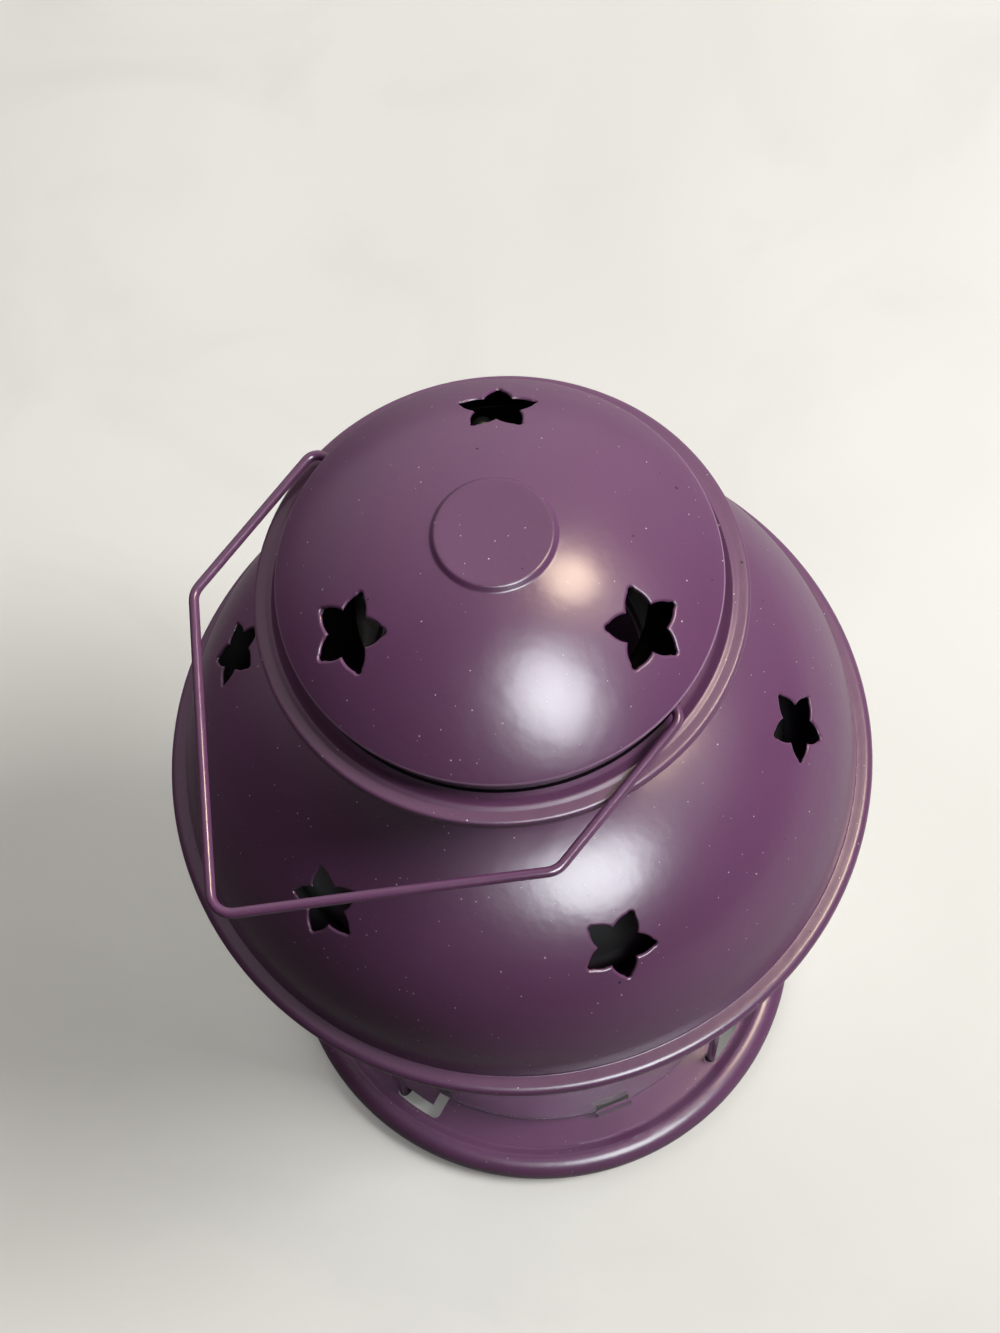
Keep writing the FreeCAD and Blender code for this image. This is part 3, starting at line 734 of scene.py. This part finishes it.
roofLook = {
    "tin": 0.5,
    "domeOffset": 20.0,
    "grooveRadius": 60.85,
    "radius": 64.0,
    "seatRadius": 28.2,
    "openingRadius": 22.0,
    "centreDrop": 3.6,
    "grooveBend": 0.25,
    "rimTopBend": 1.4,
    "rimLowBend": 1.3,
    "rimDepth": 2.8,
    "rimTuck": 2.2,
    "stars": 6,
    "starRing": 48.8,
    "starAngle": 30.0,
    "columns": 360,
    "rowSpacing": 1.15,
    "seatStep": 0.7,
    "rimStep": 0.8,
    "wave": 0.06,
    "seed": 23,
}


def makeRoof(look):
    # A flat seat, a wide dome with six stars, a groove, and a rim rolled under.
    low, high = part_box("roof_shell")
    seat, rimLow = high.z / mm, low.z / mm
    rimTop = rimLow + look["rimDepth"]
    centreHeight = rimTop - look["centreDrop"]
    radius = math.hypot(look["grooveRadius"] - look["domeOffset"], look["centreDrop"] + look["tin"])
    firstSlope = math.asin((look["seatRadius"] - look["domeOffset"]) / radius)
    lastSlope = math.acos((rimTop + look["tin"] - centreHeight) / radius)
    top = [np.array([look["openingRadius"], seat]), np.array([look["seatRadius"], seat])]
    under = roundedLine([
        ((look["grooveRadius"], rimTop + look["tin"]), 0),
        ((look["grooveRadius"], rimTop), look["grooveBend"]),
        ((look["radius"], rimTop), look["rimTopBend"]),
        ((look["radius"], rimLow), look["rimLowBend"]),
        ((look["radius"] - look["rimTuck"], rimLow), 0),
    ])
    dome = (look["domeOffset"], centreHeight, radius)
    patch = (dome, *starPatch(look, dome, firstSlope, lastSlope))
    runs = [densified(top, look["seatStep"]), densified(under, look["rimStep"])]
    return turnedSheet("roofSheet", runs, look, [paint, paintedShadeCoat], patch)


brimLook = {
    "tin": 0.5,
    "openingRadius": 22.7,
    "valleyRadius": 33.7,
    "valleyBend": 1.5,
    "ridgeRadius": 35.2,
    "ridgeHeight": 0.72,
    "ridgeBend": 0.5,
    "bandRadius": 36.0,
    "bandHeight": 0.44,
    "bandBend": 0.4,
    "radius": 37.95,
    "edgeHeight": 0.4,
    "edgeDepth": 2.1,
    "edgeBend": 0.65,
    "edgeTuck": 1.7,
    # Inside this radius the brim's seat under the cap has the painted shade coat.
    "shadedRadius": 32.4,
    "columns": 288,
    "rowStep": 0.5,
    "wave": 0.06,
    "seed": 37,
}


def makeBrim(look):
    # A ring with a flat seat, a narrow ridge, a flat band, and an edge turned down.
    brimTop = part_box("cap_dome")[0].z / mm
    edgeTop = brimTop + look["edgeHeight"]
    edgeLow = edgeTop - look["edgeDepth"]
    line = roundedLine([
        ((look["openingRadius"], brimTop), 0),
        ((look["valleyRadius"], brimTop), look["valleyBend"]),
        ((look["ridgeRadius"], brimTop + look["ridgeHeight"]), look["ridgeBend"]),
        ((look["bandRadius"], brimTop + look["bandHeight"]), look["bandBend"]),
        ((look["radius"], edgeTop), look["edgeBend"]),
        ((look["radius"], edgeLow), look["edgeBend"]),
        ((look["radius"] - look["edgeTuck"], edgeLow), 0),
    ])
    return turnedSheet("brimSheet", [densified(line, look["rowStep"])], look, [brimPaint, paintedShadeCoat])


bailLook = {
    "wire": 1.6,
    "pivotHeight": 2.6,
    "endReach": 30.0,
    "armSpan": 36.2,
    "kneeSpan": 35.9,
    "kneeReach": 29.6,
    "apexReach": 65.6,
    "endBend": 2.2,
    "kneeBend": 3.4,
    "apexBend": 3.4,
    "droop": 5.6,
    "slide": -1.2,
    "bow": 0.25,
    "cornerStep": 10.0,
    "pointSpacing": 2.5,
    "sides": 20,
}


def makeBail(look):
    # A peaked wire with its two ends turned in, folded down on the brim.
    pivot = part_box("cap_dome")[0].z / mm + look["pivotHeight"]
    corners = [
        ((look["endReach"], 0, 0), 0),
        ((look["armSpan"], 0, 0), look["endBend"]),
        ((look["kneeSpan"], -look["kneeReach"], 0), look["kneeBend"]),
        ((0, -look["apexReach"], 0), look["apexBend"]),
        ((-look["kneeSpan"], -look["kneeReach"], 0), look["kneeBend"]),
        ((-look["armSpan"], 0, 0), look["endBend"]),
        ((-look["endReach"], 0, 0), 0),
    ]
    path = densified(roundedLine(corners, look["cornerStep"]), look["pointSpacing"])
    share = np.clip((-path[:, 1] - look["kneeReach"]) / (look["apexReach"] - look["kneeReach"]), 0, 1)
    path[:, 2] += look["bow"] * np.sin(math.pi * share)
    # The loose wire has slid along its pivots.
    path[:, 0] += look["slide"]
    droop = Matrix.Rotation(math.radians(look["droop"]), 3, "X")
    placed = [(droop @ Vector(p) + Vector((0, 0, pivot))) * mm for p in path]
    return wireAlong("bailWire", placed, look, wirePaint)


# Each new piece takes the place of the plain solid of the same node.
for piece, body, node in (
    (makeCap(capLook), "hood", "cap_dome"),
    (makeRoof(roofLook), "hood", "roof_shell"),
    (makeBrim(brimLook), "hood", "cap_brim"),
    (makeBail(bailLook), "bail", "bail_handle"),
):
    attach(piece, body)
    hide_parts(node)

finishes = {
    paint: ["base_dish", "neck_collar"],
    hiddenPaint: ["glass_retainer"],
    wirePaint: ["upright_right", "upright_back", "upright_left", "upright_front"],
    glass: ["glass_chimney"],
    tinplate: ["candle_cup", "cup_rivet", "roof_rivets", "cap_rivets"],
}
for material, names in finishes.items():
    for name in names:
        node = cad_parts[name]
        node.data.materials.clear()
        node.data.materials.append(material)
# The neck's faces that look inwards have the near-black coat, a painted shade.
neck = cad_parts["neck_collar"].data
neck.materials.append(paintedShadeCoat)
for polygon in neck.polygons:
    polygon.material_index = int(polygon.center.xy.dot(polygon.normal.xy) < -1e-4)
print("pieces finished")

floorMesh = bpy.data.meshes.new("floor")
halfFloor = floorLook["size"] / 2 * mm
midX, midY = (v * mm for v in floorLook["centre"])
floorMesh.from_pydata([
    (midX - halfFloor, midY - halfFloor, 0), (midX + halfFloor, midY - halfFloor, 0),
    (midX + halfFloor, midY + halfFloor, 0), (midX - halfFloor, midY + halfFloor, 0),
], [], [(0, 1, 2, 3)])
floorMesh.materials.append(floorMaterial())
floor = bpy.data.objects.new("floor", floorMesh)
bpy.context.scene.collection.objects.link(floor)

# The room is bright behind and to the right of the lantern and dark in front of it and to its left.
# It grows bright from the place where the angle to the bright side has the cosine brightFrom.
roomLook = {
    "brightSide": (130.0, 28.0),
    "brightFrom": 0.25,
    "darkest": 0.03,
    "brightest": 1.0,
    "backdrop": 0.85,
    "colour": "f7f5f2",
}
world = bpy.data.worlds.new("studio")
bpy.context.scene.world = world
world.use_nodes = True
skyTree = world.node_tree
skyTree.nodes.clear()
lookAround = addNode(skyTree, "ShaderNodeTexCoord", out="Generated")
brightSide = towards(*roomLook["brightSide"])
facing = addNode(skyTree, "ShaderNodeVectorMath", {0: lookAround, 1: brightSide},
                 out="Value", operation="DOT_PRODUCT")
level = addNode(skyTree, "ShaderNodeMapRange", {
    "Value": facing, 1: roomLook["brightFrom"], 2: 1.0, 3: roomLook["darkest"], 4: roomLook["brightest"]})
seenByCamera = addNode(skyTree, "ShaderNodeLightPath", out="Is Camera Ray")
strength = addNode(skyTree, "ShaderNodeMix", {"Factor": seenByCamera, 2: level, 3: roomLook["backdrop"]})
sky = addNode(skyTree, "ShaderNodeBackground", {"Color": srgb(roomLook["colour"]), "Strength": strength})
addNode(skyTree, "ShaderNodeOutputWorld", {"Surface": sky})


def addLamp(name, lampLook, aim=(0, 0, 0.17)):
    # A soft box on a sphere round the lantern, turned to it. Its lengths are in metres.
    away = towards(lampLook["turn"], lampLook["height"])
    lamp = bpy.data.lights.new(name, "AREA")
    lamp.shape = lampLook["shape"]
    lamp.size, lamp.size_y = lampLook["size"]
    lamp.energy = lampLook["power"]
    lamp.color = srgb(lampLook["colour"])[:3]
    holder = bpy.data.objects.new(name, lamp)
    holder.location = Vector(aim) + away * lampLook["distance"]
    holder.rotation_euler = (-away).to_track_quat("-Z", "Y").to_euler()
    holder.visible_diffuse = lampLook["lights"]
    holder.visible_glossy = lampLook["mirrored"]
    bpy.context.scene.collection.objects.link(holder)
    return holder


# The main lamp lights and isn't mirrored. The other two are only seen as the two mirror images.
lamps = {
    "mainLight": {
        "turn": 38.0, "height": 46.0, "distance": 1.4, "size": (0.6, 0.5), "power": 17.0,
        "colour": "ffffff", "shape": "RECTANGLE", "lights": True, "mirrored": False},
    "windowShine": {
        "turn": -22.0, "height": 51.0, "distance": 1.2, "size": (0.56, 0.74), "power": 26.0,
        "colour": "e9f5f3", "shape": "ELLIPSE", "lights": False, "mirrored": True},
    "warmShine": {
        "turn": 61.0, "height": 64.0, "distance": 1.1, "size": (0.3, 0.34), "power": 9.0,
        "colour": "ffedc8", "shape": "ELLIPSE", "lights": False, "mirrored": True},
}
for name, lampLook in lamps.items():
    addLamp(name, lampLook)

# The camera of the photo, as it was fitted to the outlines.
cameraLook = {
    "location": (94.257, -92.626, 466.278),
    "rotation": (23.2779, 2.9733, 39.3232),
    "focalPixels": 2000.0,
    "longSide": 1333.0,
    "sensor": 36.0,
}
camera = bpy.data.cameras.new("camera")
camera.sensor_width = cameraLook["sensor"]
camera.lens = cameraLook["sensor"] * cameraLook["focalPixels"] / cameraLook["longSide"]
camera.clip_start = 0.01
camera.clip_end = 20.0
cameraHolder = bpy.data.objects.new("camera", camera)
cameraHolder.location = [v * mm for v in cameraLook["location"]]
cameraHolder.rotation_euler = [math.radians(v) for v in cameraLook["rotation"]]
bpy.context.scene.collection.objects.link(cameraHolder)
bpy.context.scene.camera = cameraHolder
bpy.context.scene.view_settings.view_transform = "Standard"
print("camera and light set")
